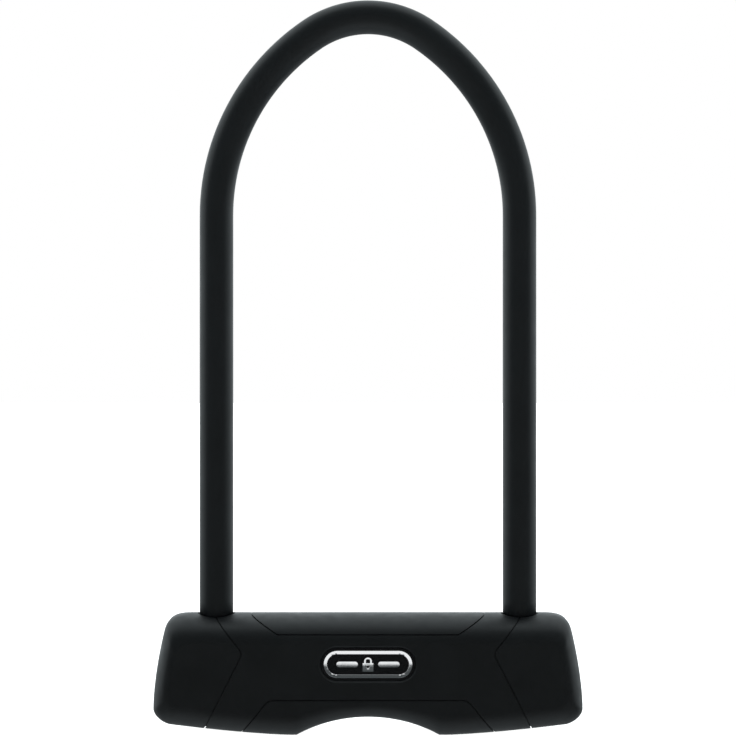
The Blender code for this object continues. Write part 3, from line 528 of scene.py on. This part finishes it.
def rounded_path(corners, steps=12):
    """A chain of (x, z) points in metres through corners in millimetres, each with its own radius."""
    points = [Vector(corner[:2]) * MM for corner in corners]
    path = [points[0]]
    for before, here, after, corner in zip(points, points[1:], points[2:], corners[1:]):
        back, ahead = (before - here).normalized(), (after - here).normalized()
        half_angle = back.angle(ahead) / 2
        radius = corner[2] * MM
        reach = radius / math.tan(half_angle)
        centre = here + (back + ahead).normalized() * (radius / math.sin(half_angle))
        start, end = here + back * reach - centre, here + ahead * reach - centre
        path += [centre + radius * start.slerp(end, k / steps) for k in range(steps + 1)]
    return path + [points[-1]]


def shifted(path, distance):
    """The chain moved sideways, to the right of its direction."""
    moved = []
    for k, point in enumerate(path):
        along = path[min(k + 1, len(path) - 1)] - path[max(k - 1, 0)]
        along.normalize()
        moved.append(tuple(point + Vector((along.y, -along.x)) * distance))
    return moved


def end_region(side, grow):
    edge = shifted(rounded_path(CHEVRON), grow)
    far = 100 * MM
    return [(side * x, z) for x, z in [(far, edge[0][1])] + edge + [(far, edge[-1][1])]]


def inlay_region(corners, grow):
    edge = shifted(rounded_path(corners), -grow)
    return edge + [(-x, z) for x, z in reversed(edge)]


def pocket_cutter():
    """The badge's pocket, with a chamfer round its mouth."""
    mouth = [half + POCKET_CHAMFER for half in POCKET]
    steps = [(-30 * MM, mouth), (-HALF_DEPTH, mouth)]
    steps += [(-HALF_DEPTH + POCKET_CHAMFER, POCKET), (POCKET_FLOOR_Y, POCKET)]
    rings = [[(x, y, z) for x, z in stadium(*size, BADGE_Z, 48)] for y, size in steps]
    return tool(mesh_piece("pocket", rings))


def make_covers():
    """The five covers. Behind each seam a tongue of the middle cover reaches under its neighbour."""
    deep = 30 * MM
    form = tool(cover_form("form"))
    form.data.shade_smooth()
    form.modifiers.new("flat_normals", "WEIGHTED_NORMAL")
    hollow = tool(cover_form("hollow", COVER_WALL))

    def region(name, loop):
        return tool(flat(name, [loop], "y", -deep, deep))

    def piece(name, source):
        obj = bpy.data.objects.new(name, source.data.copy())
        scene.collection.objects.link(obj)
        return obj

    def drill(side, sign):
        return tool(drum(f"{side}_drill", LEG_HOLE_R, sign * LEG_X, 0, 30 * MM, 60 * MM))

    # each neighbour's node, the function that outlines it at a distance from its seam, and its own cutters
    drills = {side: drill(side, sign) for side, sign in SIDES}
    mouth = tool(drum("mouth", BEZEL_NECK_R + 0.2 * MM, 0, 0, 0, 12 * MM))
    neighbours = [(f"{side}_end_cap", partial(end_region, sign), [drills[side]]) for side, sign in SIDES]
    neighbours.append(("top_inlay", partial(inlay_region, TOP_SEAM), []))
    neighbours.append(("foot_inlay", partial(inlay_region, FOOT_SEAM), [mouth]))

    tongue_skin = tool(cover_form("tongue_skin", COVER_WALL - TONGUE_WALL))
    groove_skin = tool(cover_form("groove_skin", COVER_WALL - TONGUE_WALL - TONGUE_GAP))
    middle = piece("fine_centre_sleeve", form)
    cut(middle, hollow)
    for node, outline, drilled in neighbours:
        beyond = region(f"{node}_beyond", outline(SEAM / 2))
        tongue_end = region(f"{node}_tongue_end", outline(-TONGUE_REACH))
        tongue = piece(f"{node}_tongue", tongue_skin)
        cut(tongue, tongue_end)
        tongue = tool(baked(tongue))
        cut(beyond, tongue)
        cut(middle, tool(baked(beyond)))

        groove = piece(f"{node}_groove", groove_skin)
        cut(groove, region(f"{node}_groove_end", outline(-TONGUE_REACH - TONGUE_GAP)))
        cover = piece(f"fine_{node}", form)
        cut(cover, region(f"{node}_region", outline(-SEAM / 2)), "INTERSECT")
        for other in (hollow, tool(baked(groove)), *drilled):
            cut(cover, other)
        stands_for(shaded_like(ease(baked(cover, FINE_WELD), COVER_EASE), form), node)
    for other in (*drills.values(), pocket_cutter()):
        cut(middle, other)
    stands_for(shaded_like(ease(baked(middle, FINE_WELD), COVER_EASE), form), "centre_sleeve")


# ---------------------------------------------------------------- the bow
def bow_path(low_z, leg_steps=24, arc_steps=28):
    """The bow's centreline as (x, z, heading): up the right leg, over the arch and down the left leg."""
    crown_z = SPRING_Z + math.sqrt((SIDE_ARC_R - CROWN_ARC_R) ** 2 - SIDE_ARC_X**2)
    turn = math.degrees(math.atan2(crown_z - SPRING_Z, SIDE_ARC_X))
    right = [(LEG_X, mix(low_z, SPRING_Z, k / leg_steps), 90) for k in range(leg_steps)]
    for k in range(arc_steps):
        angle = turn * k / arc_steps
        x, z = arc((-SIDE_ARC_X, SPRING_Z), SIDE_ARC_R, angle, angle, 1)[0]
        right.append((x, z, 90 + angle))
    for k in range(arc_steps):
        angle = mix(turn, 90, k / arc_steps)
        x, z = arc((0, crown_z), CROWN_ARC_R, angle, angle, 1)[0]
        right.append((x, z, 90 + angle))
    left = [(-x, z, 360 - heading) for x, z, heading in reversed(right)]
    return right + [(0, crown_z + CROWN_ARC_R, 180)] + left


def tube_rings(path, radius, sides=64):
    """Rings of points round a path that stays in the XZ plane."""
    rings = []
    for x, z, heading in path:
        across = Vector((math.sin(math.radians(heading)), 0, -math.cos(math.radians(heading))))
        ring = []
        for k in range(sides):
            angle = 2 * math.pi * k / sides
            outwards = across * math.cos(angle) + Vector((0, math.sin(angle), 0))
            ring.append(Vector((x, 0, z)) + radius * outwards)
        rings.append(ring)
    return rings


def make_bow():
    low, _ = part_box("shackle_bar")
    chamfer = 0.9 * MM
    path = bow_path(low.z + chamfer)
    rings = tube_rings(path, BAR_R, 48)
    first, last = (LEG_X, low.z, 90), (-LEG_X, low.z, 270)
    rings = tube_rings([first], BAR_R - chamfer, 48) + rings + tube_rings([last], BAR_R - chamfer, 48)
    bar = mesh_piece("fine_shackle_bar", rings)
    inner_x = LEG_X - BAR_R
    for side, sign in SIDES:
        near, far = sign * (inner_x - 2 * MM), sign * (inner_x + NOTCH_DEPTH)
        loop = [(near, NOTCH_Z0), (far, NOTCH_Z0), (far, NOTCH_Z1), (near, NOTCH_Z1)]
        cut(bar, tool(flat(f"{side}_notch", [loop], "y", -10 * MM, 10 * MM)))
    stands_for(ease(baked(bar), 0.25 * MM), "shackle_bar")

    low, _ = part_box("shackle_sleeve")
    lip = 0.2 * MM
    path = bow_path(low.z + lip)
    inner_r = SLEEVE_R - SLEEVE_WALL
    outer = tube_rings(path, SLEEVE_R)
    inner = tube_rings(path, inner_r)
    start_lip = tube_rings([(LEG_X, low.z, 90)], (SLEEVE_R + inner_r) / 2)
    end_lip = tube_rings([(-LEG_X, low.z, 270)], (SLEEVE_R + inner_r) / 2)
    sleeve = mesh_piece("fine_shackle_sleeve", start_lip + outer + end_lip + inner[::-1], closed_run=True)
    sleeve.data.shade_smooth()
    stands_for(sleeve, "shackle_sleeve")


# ---------------------------------------------------------------- the badge
def crowned(obj):
    """Lets a bright piece's front fall away a little above and below the badge's middle."""
    bm = bmesh.new()
    bm.from_mesh(obj.data)
    slices, spacing = 10, 0.5 * MM
    for k in range(-slices, slices + 1):
        everything = bm.verts[:] + bm.edges[:] + bm.faces[:]
        level = (0, 0, BADGE_Z + k * spacing)
        bmesh.ops.bisect_plane(bm, geom=everything, dist=1e-7, plane_co=level, plane_no=(0, 0, 1))
    for vertex in bm.verts:
        front = (PLATE_Y - vertex.co.y) / (PLATE_Y - RIM_Y)
        vertex.co.y += max(front, 0) * BADGE_CROWN * ((vertex.co.z - BADGE_Z) / RIM[1]) ** 2
    bm.to_mesh(obj.data)
    bm.free()
    return obj


def make_badge():
    plate = flat("fine_badge_plate", [stadium(*PLATE, BADGE_Z)], "y", PLATE_Y, POCKET_FLOOR_Y - SET_IN)
    stands_for(ease(plate, 0.18 * MM), "badge_plate")

    back = PLATE_Y - SET_IN
    soft = 0.05 * MM
    section = [(0, back), (0, RIM_Y + soft), (soft, RIM_Y), (RIM_WIDTH - soft, RIM_Y)]
    section += [(RIM_WIDTH, RIM_Y + soft), (RIM_WIDTH, back)]
    loops = [(stadium(RIM[0] - inset, RIM[1] - inset, BADGE_Z, 48), y) for inset, y in section]
    rings = [[(x, y, z) for x, z in loop] for loop, y in loops]
    rim = mesh_piece("fine_badge_rim", rings, caps=False, closed_run=True)
    stands_for(ease(crowned(rim), 0.04 * MM), "badge_rim")

    half, low, top = SIGN_HALF_WIDTH, BADGE_Z + SIGN_LOW, BADGE_Z + SIGN_HIGH
    bow_z = top + SIGN_BOW_RISE
    outline = [(-half, low), (half, low), (half, top), (SIGN_BOW_R, top)]
    outline += arc((0, bow_z), SIGN_BOW_R, 0, 180, 24) + [(-SIGN_BOW_R, top), (-half, top)]
    gap = [(SIGN_GAP_R, top)] + arc((0, bow_z), SIGN_GAP_R, 0, 180, 24) + [(-SIGN_GAP_R, top)]
    keyhole = arc((0, BADGE_Z - SIGN_HOLE_DROP), SIGN_HOLE_R, 0, 360, 32)[:-1]
    padlock = flat("fine_badge_padlock", [outline, gap, keyhole], "y", RIM_Y, back)
    stands_for(ease(crowned(padlock), 0.08 * MM), "badge_padlock")
    bright = [rim, padlock]
    for side, sign in SIDES:
        loop = stadium(BAR_HALF_LENGTH, BAR_HALF_HEIGHT, BADGE_Z, 24, sign * BAR_X)
        bar = flat(f"fine_{side}_badge_bar", [loop], "y", RIM_Y, back)
        stands_for(ease(crowned(bar), 0.1 * MM), f"{side}_badge_bar")
        bright.append(bar)
    light_badge(bright)


# ---------------------------------------------------------------- the keyhole
def make_bezel():
    profile = [
        (BEZEL_R, BEZEL_Z1),
        (BEZEL_R, BEZEL_FLANGE_Z),
        (BEZEL_NECK_R, BEZEL_FLANGE_Z),
        (BEZEL_NECK_R, BEZEL_Z0),
        (KEYHOLE_HALF_Y / 2, BEZEL_Z0),
        (KEYHOLE_HALF_Y / 2, BEZEL_FACE_Z),
        (BEZEL_BORE_R, BEZEL_FACE_Z),
        (BEZEL_BORE_R, BEZEL_Z1),
    ]
    bezel = turned("fine_keyhole_bezel", profile)
    slot = stadium(KEYHOLE_HALF_X, KEYHOLE_HALF_Y, 0, 24)
    cut(bezel, tool(flat("keyhole", [slot], "z", 5 * MM, 9 * MM)))
    stands_for(ease(baked(bezel), 0.15 * MM), "keyhole_bezel")


# ---------------------------------------------------------------- what the covers hide
def finish_hidden(replaced):
    for name, obj in frame["nodes"].items():
        if name in replaced:
            continue
        obj.data.materials.clear()
        obj.data.materials.append(FINISHES[NODE_SLOTS[name]])
        weld = obj.modifiers.new("weld", "WELD")
        weld.merge_threshold = HIDDEN_WELD
        size = min(high - low for low, high in zip(*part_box(name)))
        bevel = obj.modifiers.new("eased_edges", "BEVEL")
        bevel.width = min(HIDDEN_EASE, size * HIDDEN_EASE_SHARE)
        bevel.segments = 2
        bevel.limit_method = "ANGLE"
        bevel.angle_limit = HIDDEN_SHARP_ANGLE
        for face in obj.data.polygons:
            face.use_smooth = True
        obj.modifiers.new("flat_normals", "WEIGHTED_NORMAL")


# ---------------------------------------------------------------- the setting
def make_setting():
    half = FLOOR_HALF
    edges = [[(x, y, FLOOR_Z) for y in (-half, half)] for x in (-half, half)]
    floor = mesh_piece("floor", edges, closed_ring=False, caps=False)
    pale, tree, shader, place = surface("pale_floor", (0.86, 0.86, 0.86), 0.9)
    spread(tree, noise_field(tree, place, 3, 2), 0.86, 0.94, shader.inputs["Roughness"])
    floor.data.materials.append(pale)
    floor.visible_glossy = False

    sun = bpy.data.objects.new("floor_light", bpy.data.lights.new("floor_light", "SUN"))
    sun.data.energy = FLOOR_LIGHT
    scene.collection.objects.link(sun)
    only_for(sun, [floor])

    scene.world = studio_world()
    camera_data = bpy.data.cameras.new("camera")
    camera = bpy.data.objects.new("camera", camera_data)
    scene.collection.objects.link(camera)
    camera.location = (0, -CAMERA_DISTANCE, CAMERA_Z)
    camera.rotation_euler = (math.radians(90), 0, 0)
    camera_data.sensor_width = SENSOR_WIDTH
    camera_data.lens = SENSOR_WIDTH * CAMERA_DISTANCE / VIEW_WIDTH
    scene.camera = camera
    scene.view_settings.view_transform = "Standard"


def only_for(light, receivers):
    """Lets a light fall on these objects alone, with nothing in its way."""
    group = bpy.data.collections.new(f"lit_by_{light.name}")
    for obj in receivers:
        group.objects.link(obj)
    light.light_linking.receiver_collection = group
    light.light_linking.blocker_collection = group


def light_badge(pieces):
    """A panel in front of the badge, just above the floor, which its chrome alone sees."""
    data = bpy.data.lights.new("badge_light", "AREA")
    data.shape = "RECTANGLE"
    data.size, data.size_y = PANEL_WIDTH, PANEL_Z[1] - PANEL_Z[0]
    data.energy = PANEL_GLOW * math.pi * data.size * data.size_y
    panel = bpy.data.objects.new("badge_light", data)
    panel.location = (0, PANEL_Y, sum(PANEL_Z) / 2)
    panel.rotation_euler = (math.radians(90), 0, 0)
    panel.visible_camera = False
    scene.collection.objects.link(panel)
    only_for(panel, pieces)


def studio_world():
    """White all round as a backdrop.

    As a light it is faintly cool, dim in front, and brighter at the sides, above, below and behind.
    """
    world = bpy.data.worlds.new("studio")
    world.use_nodes = True
    tree = world.node_tree
    direction = tree.nodes.new("ShaderNodeTexCoord").outputs["Generated"]
    along = tree.nodes.new("ShaderNodeSeparateXYZ")
    tree.links.new(direction, along.inputs["Vector"])

    def ramp(axis, start, end, low, high, kind="SMOOTHSTEP"):
        made = tree.nodes.new("ShaderNodeMapRange")
        made.interpolation_type = kind
        for key, value in zip(("From Min", "From Max", "To Min", "To Max"), (start, end, low, high)):
            made.inputs[key].default_value = value
        tree.links.new(along.outputs[axis], made.inputs["Value"])
        return made.outputs["Result"]

    def combined(operation, first, second):
        made = tree.nodes.new("ShaderNodeMath")
        made.operation = operation
        for socket, value in zip(made.inputs, (first, second)):
            if isinstance(value, float):
                socket.default_value = value
            else:
                tree.links.new(value, socket)
        return made.outputs[0]

    round_about = ramp("Y", *SIDES_Y, 0, SIDES_GLOW)
    above = ramp("Z", *TOP_Z_SPAN, 0, TOP_GLOW, "LINEAR")
    below = ramp("Z", *FOOT_Z_SPAN, 0, FOOT_GLOW)
    over_floor = ramp("Z", *HORIZON_Z, 0, 1)
    lit = combined("MULTIPLY", combined("ADD", round_about, above), over_floor)
    behind = ramp("Y", *BACK_Y, 0, BACK_GLOW)
    glow = combined("ADD", combined("MAXIMUM", combined("ADD", lit, below), behind), DIM_GLOW)
    seen = tree.nodes.new("ShaderNodeLightPath").outputs["Is Camera Ray"]
    strength = combined("MAXIMUM", glow, seen)
    background = tree.nodes["Background"]
    colour = tree.nodes.new("ShaderNodeMix")
    colour.data_type = "RGBA"
    colour.inputs["A"].default_value = LIGHT_TINT
    colour.inputs["B"].default_value = WHITE
    tree.links.new(seen, colour.inputs["Factor"])
    tree.links.new(colour.outputs["Result"], background.inputs["Color"])
    tree.links.new(strength, background.inputs["Strength"])
    return world


REPLACED = ["centre_sleeve", "left_end_cap", "right_end_cap", "top_inlay", "foot_inlay"]
REPLACED += ["shackle_bar", "shackle_sleeve", "keyhole_bezel"]
REPLACED += ["badge_plate", "badge_rim", "badge_padlock", "left_badge_bar", "right_badge_bar"]

make_setting()
make_covers()
make_bow()
make_badge()
make_bezel()
finish_hidden(REPLACED)
for leftover in list(TOOLS.objects):
    bpy.data.objects.remove(leftover)
